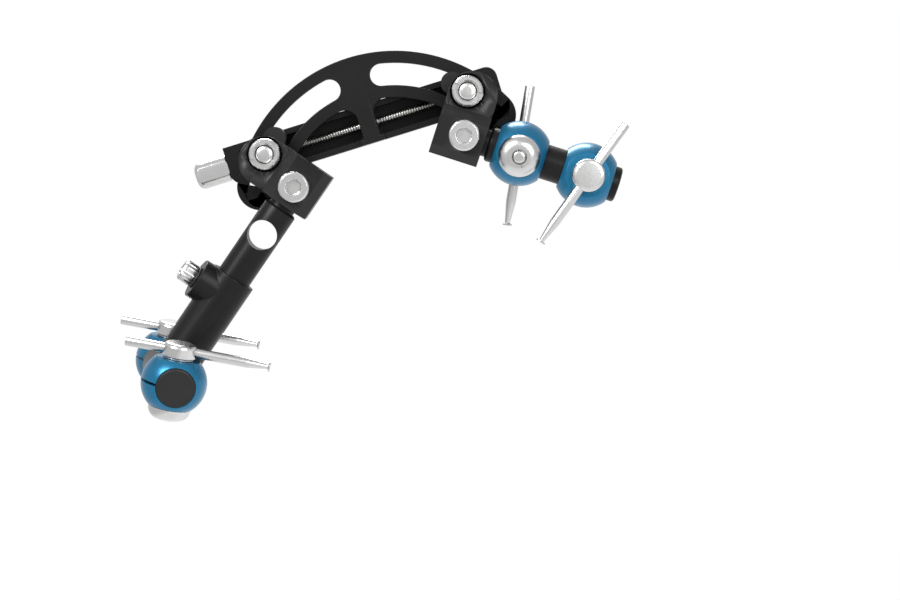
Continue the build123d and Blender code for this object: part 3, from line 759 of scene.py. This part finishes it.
@dataclass
class SliderBlock:
    """One sliding block with its pivot stud, castle nut and clamp screw."""

    side: Side
    arm: ArmFrames
    nut_turn: float
    inner: float = 4.1
    outer: float = 6.9
    bottom: float = 15.3
    lug_radius: float = 5.5
    lug_centre: tuple[float, float] = (1.4, -0.6)
    front: float = 4.7
    back: float = 5.1
    step_depth: float = 2.3
    step_top: float = -4.0
    bottom_bevel: float = 2.0
    counterbore_radius: float = 3.9
    counterbore_depth: float = 2.2
    boss_back: float = 9.45
    boss_radius: float = 3.6
    pin_spread: float = 4.0
    pin_boss_radius: float = 2.5
    nut_radius: float = 3.5
    nut_height: float = 3.15
    stud_radius: float = 2.0
    cap_along: float = 2.2

    def _block(self) -> None:
        """Model the block: a rounded lug, a thick body and a boss behind."""
        lug_front = self.front - self.step_depth
        block = Bench.box((-self.inner, -self.bottom, -self.back),
                          (self.outer, self.lug_centre[1], lug_front))
        lug = Bench.rod(self.lug_radius, -self.back, lug_front, 128)
        lug.matrix_world = Matrix.Translation((*self.lug_centre, 0))
        Bench.settle(lug)
        Bench.carve(block, lug, Cut.ADD)
        body = Bench.box((-self.inner, -self.bottom, -self.back),
                         (self.outer, self.step_top, self.front))
        Bench.slice(body, (0, self.step_top, lug_front), (0, 1, 1))
        Bench.slice(body, (0, -self.bottom, self.front - self.bottom_bevel), (0, -1, 1))
        Bench.carve(block, body, Cut.ADD)
        Bench.slice(block, (0, -self.bottom, self.front - self.bottom_bevel), (0, -1, 1))
        boss = Bench.rod(self.boss_radius, -self.boss_back, -self.back + 0.5, 64)
        Bench.carve(block, boss, Cut.ADD)
        slope = self._slot_slope()
        for way in (-1, 1):
            ear = Bench.rod(self.pin_boss_radius, -self.boss_back, -self.back + 0.5, 48)
            ear.matrix_world = Matrix.Translation(
                (way * self.pin_spread * slope.x, way * self.pin_spread * slope.y, 0))
            Bench.settle(ear)
            Bench.carve(block, ear, Cut.ADD)
        tie = Bench.box((-self.pin_spread, -self.pin_boss_radius, -self.boss_back),
                        (self.pin_spread, self.pin_boss_radius, -self.back + 0.5))
        tie.matrix_world = Matrix.Rotation(math.atan2(slope.y, slope.x), 4, "Z")
        Bench.settle(tie)
        Bench.carve(block, tie, Cut.ADD)
        sink = Bench.rod(self.counterbore_radius, lug_front - self.counterbore_depth,
                         lug_front + 1, 96)
        Bench.carve(block, sink, Cut.TAKE)
        bore = Bench.rod(self.stud_radius + SIZES.running, -self.boss_back - 1, lug_front + 1, 48)
        Bench.carve(block, bore, Cut.TAKE)
        Bench.soften(block, 0.28, 4, 30)
        Bench.install(block, f"swivel_block_{self.side.value}", self.arm.pivot,
                      f"slider_block_{self.side.value}", f"{self.side.value}_arm", BLACK_SATIN)

    def _slot_slope(self) -> Vector:
        """The slot's direction at the pivot, in the block's own frame."""
        along = math.atan2(SIZES.pivot_offset, SIZES.pivot_height)
        world = Vector((math.cos(along), 0, -math.sin(along)))
        tilt = math.radians(self.arm.angle)
        x_dir = Vector((math.cos(tilt), 0, -math.sin(tilt)))
        y_dir = Vector((math.sin(tilt), 0, math.cos(tilt)))
        return Vector((world.dot(x_dir), world.dot(y_dir)))

    def _nut(self) -> None:
        """Model the castle nut with its two slots."""
        seat = self.front - self.step_depth - self.counterbore_depth + SIZES.running
        rim = seat + self.nut_height
        inner, outer = self.stud_radius + 0.04, self.nut_radius
        nut = Bench.turned(((outer, seat), (outer, rim - 0.55), (outer - 0.16, rim - 0.25),
                            (outer - 0.5, rim), (inner + 0.45, rim), (inner + 0.1, rim - 0.3),
                            (inner, rim - 0.6), (inner, seat)), 96, ring=True)
        for way in (-1, 1):
            low, high = sorted((way * (inner + 0.35), way * (outer + 1)))
            slot = Bench.box((low, -0.75, rim - 0.9), (high, 0.75, rim + 1))
            slot.matrix_world = Matrix.Rotation(math.radians(self.nut_turn), 4, "Z")
            Bench.settle(slot)
            Bench.carve(nut, slot, Cut.TAKE)
        Bench.soften(nut, 0.09, 2, 35)
        place = frame_of(Vector((SIZES.pivot_offset, 0, SIZES.pivot_height)),
                         Vector((1, 0, 0)), Vector((0, -1, 0)))
        if self.side is Side.DISTAL:
            place = Matrix.Diagonal((-1, 1, 1, 1)) @ place
        Bench.install(nut, f"slotted_nut_{self.side.value}", place,
                      f"castle_nut_{self.side.value}", f"{self.side.value}_traveller", STEEL)

    def _stud(self) -> None:
        """Model the pivot stud with its domed end and thin stem."""
        tip = self.front - self.step_depth + 0.6
        shoulder = -self.boss_back - 0.075
        tail = -(SIZES.bar_front + SIZES.face_gap + 1.6)
        wide = self.stud_radius
        stud = Bench.turned(((1.5, tail), (1.7, tail + 0.2), (1.7, shoulder), (wide, shoulder),
                             (wide, tip - 0.45), (wide - 0.12, tip - 0.25),
                             (wide - 0.5, tip - 0.06), (wide - 1.2, tip)), 64)
        bpy.ops.object.shade_smooth_by_angle(angle=math.radians(35))
        Bench.install(stud, f"swivel_stud_{self.side.value}", self.arm.pivot,
                      f"pivot_stud_{self.side.value}", f"{self.side.value}_traveller", STEEL)

    def _clamp_screw(self) -> None:
        """Model the socket cap screw with its rounded head and hexagon."""
        base, top, wide = self.front, self.front + 2.3, 3.4
        head = Bench.turned(((2.0, 2.4), (2.0, base), (wide - 0.1, base), (wide, base + 0.1),
                             (wide, top - 0.5), (wide - 0.12, top - 0.2), (wide - 0.4, top),
                             (1.0, top)), 96)
        hexagon = Bench.rod(1.5 / math.cos(math.radians(30)), top - 1.4, top + 1, 6)
        Bench.carve(head, hexagon, Cut.TAKE)
        mouth = Bench.turned(((1.5, top - 0.3), (1.85, top + 0.02), (1.85, top + 1)), 64)
        Bench.carve(head, mouth, Cut.TAKE)
        Bench.soften(head, 0.05, 2, 30)
        place = moved(self.arm.rod, x=self.cap_along)
        Bench.install(head, f"socket_screw_{self.side.value}", place,
                      f"clamp_screw_{self.side.value}", f"{self.side.value}_arm", STEEL)

    def build(self) -> None:
        """Model the block and its three fasteners."""
        self._block()
        self._nut()
        self._stud()
        self._clamp_screw()


@dataclass
class ArmRod:
    """A rod with its neck and grooved shank, and a cross hole in the distal one."""

    name: str
    node: str
    body: str
    arm: ArmFrames
    end: float
    cross_hole: float | None = None
    shank_start: float = -1.5
    shank_radius: float = 2.75
    neck_start: float = 6.9
    neck_end: float = 7.9
    neck_radius: float = 3.1

    def build(self) -> None:
        """Model the rod along its own axis."""
        wide, thin = SIZES.rod_radius, self.shank_radius
        rod = Bench.turned(((thin, self.shank_start), (thin, 0.15), (2.35, 0.15), (2.35, 4.25),
                            (thin, 4.25), (thin, self.neck_start),
                            (self.neck_radius, self.neck_start), (self.neck_radius, self.neck_end),
                            (wide - 0.4, self.neck_end), (wide, self.neck_end + 0.4),
                            (wide, self.end - 0.45), (wide - 0.12, self.end - 0.2),
                            (wide - 0.45, self.end), (0.5, self.end)), 96)
        if self.cross_hole is not None:
            hole = Bench.rod(3.3, -8, 8, 96)
            hole.matrix_world = Matrix.Translation((0, 0, self.cross_hole)) @ Matrix.Rotation(
                math.radians(90), 4, "X")
            Bench.settle(hole)
            Bench.carve(rod, hole, Cut.TAKE)
        Bench.soften(rod, 0.12, 3, 35)
        place = aimed(self.arm.rod, "x")
        Bench.install(rod, self.name, place, self.node, self.body, BLACK,
                      axis_of(place))


@dataclass
class Sleeve:
    """The sleeve on the distal rod with its thumb screw and transverse rod."""

    arm: ArmFrames
    start: float = 26.4
    radius: float = 5.0
    bore_length: float = 20.0
    eye_along: float = 51.7
    eye_radius: float = 6.0
    eye_half: float = 5.6
    boss_along: float = 4.7
    boss_radius: float = 4.6
    boss_top: float = 7.0
    head_radius: float = 2.45
    head_height: float = 3.2
    washer_radius: float = 2.6
    washer_height: float = 0.5
    transverse_half: float = 18.0

    def _tube(self) -> None:
        """Model the tube with its eye and boss."""
        tube = Bench.rod(self.radius, self.start, self.eye_along, 96)
        eye = Bench.rod(self.eye_radius, -self.eye_half, self.eye_half, 96)
        eye.matrix_world = Matrix.Translation((0, 0, self.eye_along)) @ Matrix.Rotation(
            math.radians(90), 4, "X")
        Bench.settle(eye)
        Bench.carve(tube, eye, Cut.ADD)
        boss = Bench.rod(self.boss_radius, 0, self.boss_top, 96)
        boss.matrix_world = Matrix.Translation((0, 0, self.start + self.boss_along)) @ \
            Matrix.Rotation(math.radians(90), 4, "Y")
        Bench.settle(boss)
        Bench.carve(tube, boss, Cut.ADD)
        bore = Bench.rod(SIZES.rod_radius + SIZES.running, self.start - 1,
                         self.start + self.bore_length, 96)
        Bench.carve(tube, bore, Cut.TAKE)
        cross = Bench.rod(SIZES.transverse_radius + 0.02, -9, 9, 96)
        cross.matrix_world = Matrix.Translation((0, 0, self.eye_along)) @ Matrix.Rotation(
            math.radians(90), 4, "X")
        Bench.settle(cross)
        Bench.carve(tube, cross, Cut.TAKE)
        Bench.soften(tube, 0.22, 3, 35, slide=False)
        place = aimed(self.arm.rolled, "x")
        Bench.install(tube, "sliding_sleeve", place, "distal_sleeve", "sleeve", BLACK,
                      None)

    def _thumb_screw(self) -> None:
        """Model the knurled thumb screw and the dark washer under its head."""
        base = self.boss_top + self.washer_height
        top = base + self.head_height
        wide = self.head_radius
        head = Bench.turned(((wide - 0.35, base), (wide, base + 0.3), (wide, top - 0.35),
                             (wide - 0.35, top), (0.8, top)), 40)
        Bench.edit(head, select=False)
        bpy.ops.mesh.select_mode(type="VERT")
        bpy.ops.object.mode_set(mode="OBJECT")
        step = math.radians(18)
        for vert in head.data.vertices:
            turn = math.atan2(vert.co.y, vert.co.x) % step
            vert.select = vert.co.xy.length > wide - 0.1 and abs(turn - step / 2) < step / 4
        bpy.ops.object.mode_set(mode="EDIT")
        bpy.ops.transform.resize(value=(0.9, 0.9, 1), center_override=(0, 0, 0))
        bpy.ops.object.mode_set(mode="OBJECT")
        dish = Bench.turned(((1.1, top - 0.35), (1.35, top + 0.02), (1.35, top + 1)), 40)
        Bench.carve(head, dish, Cut.TAKE)
        shank = Bench.rod(1.5, 4.0, base + 0.5, 40)
        Bench.carve(head, shank, Cut.ADD)
        Bench.soften(head, 0.05, 2, 25)
        place = aimed(moved(self.arm.rolled, x=self.start + self.boss_along), "y")
        Bench.install(head, "knurled_screw", place, "thumb_screw", "thumb", STEEL)
        wide, low = self.washer_radius, self.boss_top
        ring = Bench.turned(((wide - 0.1, low), (wide, low + 0.1), (wide, base - 0.1),
                             (wide - 0.1, base), (1.56, base), (1.56, low)), 64, ring=True)
        Bench.soften(ring, 0.04, 2, 30)
        Bench.install(ring, "thumb_seat", place, "thumb_washer", "sleeve", DARK)

    def _transverse(self) -> None:
        """Model the short rod across the eye."""
        wide, half = SIZES.transverse_radius, self.transverse_half
        rod = Bench.turned(((0.5, -half), (wide - 0.45, -half), (wide - 0.12, -half + 0.14),
                            (wide, -half + 0.45), (wide, half - 0.45),
                            (wide - 0.12, half - 0.14), (wide - 0.45, half), (0.5, half)), 96)
        Bench.soften(rod, 0.06, 2, 35)
        place = moved(self.arm.rolled, x=self.eye_along)
        Bench.install(rod, "cross_rod", place, "transverse_rod", "sleeve", BLACK_SATIN,
                      axis_of(place))

    def build(self) -> None:
        """Model the sleeve and what it carries."""
        self._tube()
        self._thumb_screw()
        self._transverse()


@dataclass(frozen=True)
class ClampPlace:
    """Where one clamp sits and how its pin is set.

    Args:
        name: the clamp's name.
        place: its frame, with x along the rod and z along the bolt to the hub.
        bore: the radius of the rod that it grips.
        turn: the pin's turn about the bolt, in degrees.
        plain: length of the pin's plain end beyond the hub's axis.
    """

    name: str
    place: Matrix
    bore: float
    turn: float
    plain: float


@dataclass
class BallClamp:
    """A split ball with its washer, pin hub, domed nut, stud and bone pin."""

    radius: float = 7.2
    width: float = 11.2
    flat: float = 5.35
    slit: float = 0.6
    washer_radius: float = 3.25
    washer_height: float = 0.5
    hub_radius: float = 3.6
    hub_height: float = 3.1
    stud_radius: float = 1.35
    stud_inner: float = 4.5
    dome_radius: float = 4.65
    dome_height: float = 2.85
    dome_flat: float = 2.2
    stud_proud: float = 0.35
    pin_radius: float = 1.1
    pin_length: float = 31.8
    pin_taper: float = 4.9
    pin_neck: float = 0.55
    pin_flange: float = 0.4
    hub_web: float = 0.25

    @property
    def hub_base(self) -> float:
        """Height of the hub's foot above the ball's centre."""
        return self.flat + self.washer_height

    @property
    def pin_level(self) -> float:
        """Height of the pin's axis above the ball's centre."""
        return self.hub_base + self.hub_web + SIZES.running + self.pin_radius

    def _ring(self, bore: float) -> bpy.types.Object:
        """The split ball."""
        Bench.clear()
        bpy.ops.mesh.primitive_uv_sphere_add(segments=112, ring_count=56, radius=self.radius)
        ball = Bench.settle(bpy.context.object)
        for way in (-1, 1):
            Bench.slice(ball, (way * self.width / 2, 0, 0), (way, 0, 0))
            Bench.slice(ball, (0, 0, way * self.flat), (0, 0, way))
        hole = Bench.rod(bore + SIZES.running, -9, 9, 96)
        hole.matrix_world = Matrix.Rotation(math.radians(90), 4, "Y")
        Bench.settle(hole)
        Bench.carve(ball, hole, Cut.TAKE)
        slit = Bench.box((-9, -9, -self.slit / 2), (9, -1, self.slit / 2))
        Bench.carve(ball, slit, Cut.TAKE)
        Bench.soften(ball, 0.28, 4, 34)
        return ball

    def _washer(self) -> bpy.types.Object:
        """The thin washer under the hub."""
        wide, low, high = self.washer_radius, self.flat, self.hub_base
        washer = Bench.turned(((wide - 0.1, low), (wide, low + 0.12), (wide, high - 0.12),
                               (wide - 0.12, high), (1.4, high), (1.4, low)), 80, ring=True)
        Bench.soften(washer, 0.04, 2, 30)
        return washer

    def _hub(self, pin_place: Matrix) -> bpy.types.Object:
        """The hub with its low dome and the cross bore for the pin."""
        wide, low, high = self.hub_radius, self.hub_base, self.hub_base + self.hub_height
        hub = Bench.turned(((self.stud_radius, self.stud_inner), (self.stud_radius, low),
                            (wide - 0.15, low), (wide, low + 0.15), (wide, high - 0.9),
                            (wide - 0.12, high - 0.5), (wide - 0.42, high - 0.2),
                            (wide - 0.9, high - 0.05), (1.2, high), (0.4, high)), 96)
        bore = Bench.rod(self.pin_radius + SIZES.running, -6, 6, 64)
        bore.matrix_world = pin_place
        Bench.settle(bore)
        Bench.carve(hub, bore, Cut.TAKE)
        Bench.soften(hub, 0.1, 3, 35)
        return hub

    def _dome(self) -> bpy.types.Object:
        """The domed nut, with a sunk ring round its stud and a small tool hole."""
        base, top = self.flat, self.flat + self.dome_height
        wide, flat, hole = self.dome_radius, self.dome_flat, self.stud_radius + 0.02
        path = [(wide - 0.12, base), (wide, base + 0.1), (wide, base + 0.35)]
        rise, run = self.dome_height - 0.35, wide - flat
        for step in range(1, 13):
            turn = math.radians(90 * step / 12)
            path.append((flat + run * math.cos(turn), base + 0.35 + rise * math.sin(turn)))
        path += [(hole + 0.3, top), (hole + 0.12, top - 0.3), (hole, top - 0.35), (hole, base)]
        dome = Bench.turned(path, 96, ring=True)
        peg = Bench.rod(0.36, top - 0.9, top + 1, 24)
        peg.matrix_world = Matrix.Translation((1.06, -1.72, 0))
        Bench.settle(peg)
        Bench.carve(dome, peg, Cut.TAKE)
        Bench.soften(dome, 0.05, 2, 40)
        return dome

    def _stud(self) -> bpy.types.Object:
        """The short stud whose rounded end stands a little above the dome."""
        wide, tip = self.stud_radius, self.flat + self.dome_height + self.stud_proud
        stud = Bench.turned(((wide, self.stud_inner), (wide, tip - 0.3), (wide - 0.1, tip - 0.12),
                             (wide - 0.3, tip - 0.02), (wide - 0.7, tip), (0.3, tip)), 64)
        bpy.ops.object.shade_smooth_by_angle(angle=math.radians(35))
        return stud

    def _pin(self, plain: float) -> bpy.types.Object:
        """The bone pin: a plain bar, a taper to a thin neck and a small flange."""
        wide, thin = self.pin_radius, self.pin_neck
        tip = self.pin_length - plain
        flange = tip - self.pin_flange
        taper = flange - self.pin_taper
        pin = Bench.turned(((0.3, -plain), (wide - 0.25, -plain), (wide - 0.06, 0.1 - plain),
                            (wide, 0.3 - plain), (wide, taper - 0.3), (wide - 0.03, taper + 0.3),
                            (thin + 0.06, flange - 0.5), (thin, flange - 0.1),
                            (wide - 0.06, flange), (wide, flange + 0.08), (wide, tip - 0.08),
                            (wide - 0.08, tip), (0.3, tip)), 64)
        bpy.ops.object.shade_smooth_by_angle(angle=math.radians(30))
        return pin

    def build(self, clamps: Sequence[ClampPlace]) -> None:
        """Model each kind of piece once and set a copy of it in every clamp.

        Args:
            clamps: the clamps' places.
        """
        rings = {bore: self._ring(bore) for bore in sorted({c.bore for c in clamps})}
        washer, dome, stud = self._washer(), self._dome(), self._stud()
        for clamp in clamps:
            turn = math.radians(clamp.turn)
            pin_place = frame_of(Vector((0, 0, self.pin_level)), Vector((0, 0, 1)),
                                 Vector((math.sin(turn), math.cos(turn), 0)))
            name, body = clamp.name, f"{clamp.name}_clamp"
            bolt = axis_of(clamp.place)
            outside = aimed(clamp.place, "-z")
            Bench.install(Bench.copy(rings[clamp.bore]), f"{name}_ball", clamp.place,
                          f"{name}_clamp_ring", body, BLUE)
            Bench.install(Bench.copy(washer), f"{name}_washer", clamp.place,
                          f"{name}_hub_washer", body, STEEL, bolt)
            Bench.install(Bench.copy(dome), f"{name}_dome", outside, f"{name}_dome_cap", body,
                          STEEL, bolt)
            Bench.install(Bench.copy(stud), f"{name}_stud", outside, f"{name}_clamp_stud", body,
                          STEEL, bolt)
            Bench.install(self._hub(pin_place), f"{name}_hub_cap", clamp.place,
                          f"{name}_pin_hub", f"{name}_hub", STEEL, bolt)
            along = clamp.place @ pin_place
            Bench.install(self._pin(clamp.plain), f"{name}_pin_shaft", along,
                          f"{name}_bone_pin", f"{name}_pin", PIN_STEEL, axis_of(along))
        for pattern in (*rings.values(), washer, dome, stud):
            bpy.data.objects.remove(pattern)


@dataclass
class InnerFittings:
    """The small pieces inside the bar and behind the blocks, kept as they are."""

    plain: tuple[str, ...] = ("screw_collar", "traveller_left", "traveller_right",
                              "guide_pins_left", "guide_pins_right")

    def build(self, nodes: dict[str, bpy.types.Object]) -> None:
        """Dress the carried-over nodes."""
        for name in self.plain:
            STEEL.dress(nodes[name])
            LOG.info("%s: kept, with the steel finish", name)


@dataclass
class Studio:
    """The camera, lamps, floor and world."""

    pixels_per_mm: float = 4.505
    distance: float = 500.0
    elevation: float = 3.5
    roll: float = 17.2
    aim: tuple[float, float, float] = (6.07, 0.0, -22.15)
    floor_level: float = -62.0
    floor_fade: tuple[float, float] = (0.05, 0.22)

    def _camera(self) -> None:
        """Set the camera at the photograph's angle."""
        data = bpy.data.cameras.new("view")
        data.sensor_width = 36.0
        data.lens = 36.0 * self.distance * self.pixels_per_mm / 900.0
        data.clip_start, data.clip_end = 0.01, 20.0
        camera = bpy.data.objects.new("view", data)
        bpy.context.scene.collection.objects.link(camera)
        lean, tip = math.radians(self.roll), math.radians(self.elevation)
        right = Vector((math.cos(lean), 0, -math.sin(lean)))
        up = Vector((math.sin(lean), 0, math.cos(lean)))
        ahead = (Vector((0, 1, 0)) * math.cos(tip) - up * math.sin(tip)).normalized()
        top = right.cross(ahead)
        turn = Matrix((right, top, -ahead)).transposed().to_4x4()
        turn.translation = (Vector(self.aim) - ahead * self.distance) * MILLIMETRE
        camera.matrix_world = turn
        bpy.context.scene.camera = camera

    @staticmethod
    def _lamp(name: str, place: Sequence[float], aim: Sequence[float], size: tuple[float, float],
              power: float) -> None:
        """Hang one soft area lamp, in millimetres and watts."""
        data = bpy.data.lights.new(name, "AREA")
        data.shape = "RECTANGLE"
        data.size, data.size_y = size[0] * MILLIMETRE, size[1] * MILLIMETRE
        data.energy = power
        lamp = bpy.data.objects.new(name, data)
        bpy.context.scene.collection.objects.link(lamp)
        away = Vector(place) - Vector(aim)
        turn = away.to_track_quat("Z", "Y").to_matrix().to_4x4()
        turn.translation = Vector(place) * MILLIMETRE
        lamp.matrix_world = turn

    @staticmethod
    def _white_rays(tree: bpy.types.NodeTree, glossy: bool) -> bpy.types.NodeSocket:
        """One for camera, transmission and, when asked, glossy rays."""
        rays = tree.nodes.new("ShaderNodeLightPath")
        total = rays.outputs["Is Camera Ray"]
        names = ["Is Transmission Ray"] + (["Is Glossy Ray"] if glossy else [])
        for ray in names:
            most = tree.nodes.new("ShaderNodeMath")
            most.operation = "MAXIMUM"
            tree.links.new(total, most.inputs[0])
            tree.links.new(rays.outputs[ray], most.inputs[1])
            total = most.outputs["Value"]
        return total

    def _world(self) -> None:
        """Light the object softly, and show white behind it."""
        world = bpy.data.worlds.new("studio")
        bpy.context.scene.world = world
        world.use_nodes = True
        tree = world.node_tree
        soft = tree.nodes["Background"]
        soft.inputs["Color"].default_value = (1, 1, 1, 1)
        soft.inputs["Strength"].default_value = 0.55
        white = tree.nodes.new("ShaderNodeBackground")
        white.inputs["Color"].default_value = (1, 1, 1, 1)
        white.inputs["Strength"].default_value = 1.0
        blend = tree.nodes.new("ShaderNodeMixShader")
        tree.links.new(self._white_rays(tree, True), blend.inputs["Fac"])
        tree.links.new(soft.outputs["Background"], blend.inputs[1])
        tree.links.new(white.outputs["Background"], blend.inputs[2])
        tree.links.new(blend.outputs["Shader"], tree.nodes["World Output"].inputs["Surface"])

    def _floor(self) -> None:
        """Lay the plain pale floor."""
        Bench.clear()
        bpy.ops.mesh.primitive_plane_add(size=6.0, location=(0, 0, self.floor_level * MILLIMETRE))
        floor = bpy.context.object
        floor.name = "floor"
        material = bpy.data.materials.new("pale_floor")
        material.use_nodes = True
        tree = material.node_tree
        paint = tree.nodes["Principled BSDF"]
        paint.inputs["Base Color"].default_value = (0.86, 0.86, 0.86, 1)
        paint.inputs["Roughness"].default_value = 0.9
        glow = tree.nodes.new("ShaderNodeEmission")
        glow.inputs["Strength"].default_value = 1.0
        blend = tree.nodes.new("ShaderNodeMixShader")
        place = tree.nodes.new("ShaderNodeTexCoord")
        away = tree.nodes.new("ShaderNodeVectorMath")
        away.operation = "LENGTH"
        tree.links.new(place.outputs["Object"], away.inputs[0])
        fade = tree.nodes.new("ShaderNodeMapRange")
        fade.interpolation_type = "SMOOTHSTEP"
        fade.inputs["From Min"].default_value = self.floor_fade[0]
        fade.inputs["From Max"].default_value = self.floor_fade[1]
        fade.inputs["To Min"].default_value = 0.45
        tree.links.new(away.outputs["Value"], fade.inputs["Value"])
        share = tree.nodes.new("ShaderNodeMath")
        share.operation = "MULTIPLY"
        tree.links.new(self._white_rays(tree, True), share.inputs[0])
        tree.links.new(fade.outputs["Result"], share.inputs[1])
        tree.links.new(share.outputs["Value"], blend.inputs["Fac"])
        tree.links.new(paint.outputs["BSDF"], blend.inputs[1])
        tree.links.new(glow.outputs["Emission"], blend.inputs[2])
        tree.links.new(blend.outputs["Shader"], tree.nodes["Material Output"].inputs["Surface"])
        floor.data.materials.append(material)

    def build(self) -> None:
        """Set the whole studio."""
        self._camera()
        self._world()
        self._floor()
        self._lamp("key", (-160, -330, 330), (0, 0, 0), (260, 200), 4.4)
        self._lamp("fill", (260, -380, 60), (10, 0, 0), (240, 240), 1.6)
        self._lamp("back", (40, 260, 300), (0, 0, 0), (300, 120), 2.5)
        bpy.context.scene.view_settings.view_transform = "Standard"


def clamp_places(proximal: ArmFrames, distal: ArmFrames) -> list[ClampPlace]:
    """The four clamps' places.

    Args:
        proximal: frames of the proximal arm.
        distal: frames of the distal arm.

    Returns:
        The near and far clamps on the proximal rod, then the front and rear ones.
    """
    tilt, bolt = math.radians(6.0), math.radians(23.6)
    near = proximal.rod @ frame_of(Vector((15.1, 0, 0)), Vector((1, 0, 0)),
                                   Vector((0, math.sin(tilt), -math.cos(tilt))))
    far = proximal.rod @ frame_of(Vector((30.7, 0, 0)), Vector((-1, 0, 0)), Vector((0, 0, 1)))
    places = [ClampPlace("near", near, SIZES.rod_radius, 8.5, 14.7),
              ClampPlace("far", far, SIZES.rod_radius, 17.8, 13.8)]
    for name, spread in (("front", 12.0), ("rear", -12.0)):
        place = distal.rolled @ frame_of(Vector((51.7, 0, spread)), Vector((0, 0, -1)),
                                         Vector((-math.cos(bolt), math.sin(bolt), 0)))
        places.append(ClampPlace(name, place, SIZES.transverse_radius, -8.0, 11.9))
    return places


def main() -> None:
    """Load the frame, build every sub-assembly in order and set the studio."""
    logging.basicConfig(level=logging.INFO, format="%(message)s")
    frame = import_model()
    proximal = ArmFrames(Side.PROXIMAL, SIZES.right_angle)
    distal = ArmFrames(Side.DISTAL, SIZES.left_angle, SIZES.sleeve_roll)
    ArcPlate().build()
    GuideBar().build()
    SliderBlock(Side.PROXIMAL, proximal, -38.0).build()
    SliderBlock(Side.DISTAL, distal, -18.0).build()
    ArmRod("proximal_shaft", "proximal_rod", "right_arm", proximal, 38.0).build()
    ArmRod("distal_shaft", "distal_rod", "distal_rod", distal, 43.0, 15.0).build()
    Sleeve(distal).build()
    BallClamp().build(clamp_places(proximal, distal))
    InnerFittings().build(frame["nodes"])
    Studio().build()
    Bench.clear()


if __name__ == "__main__":
    main()
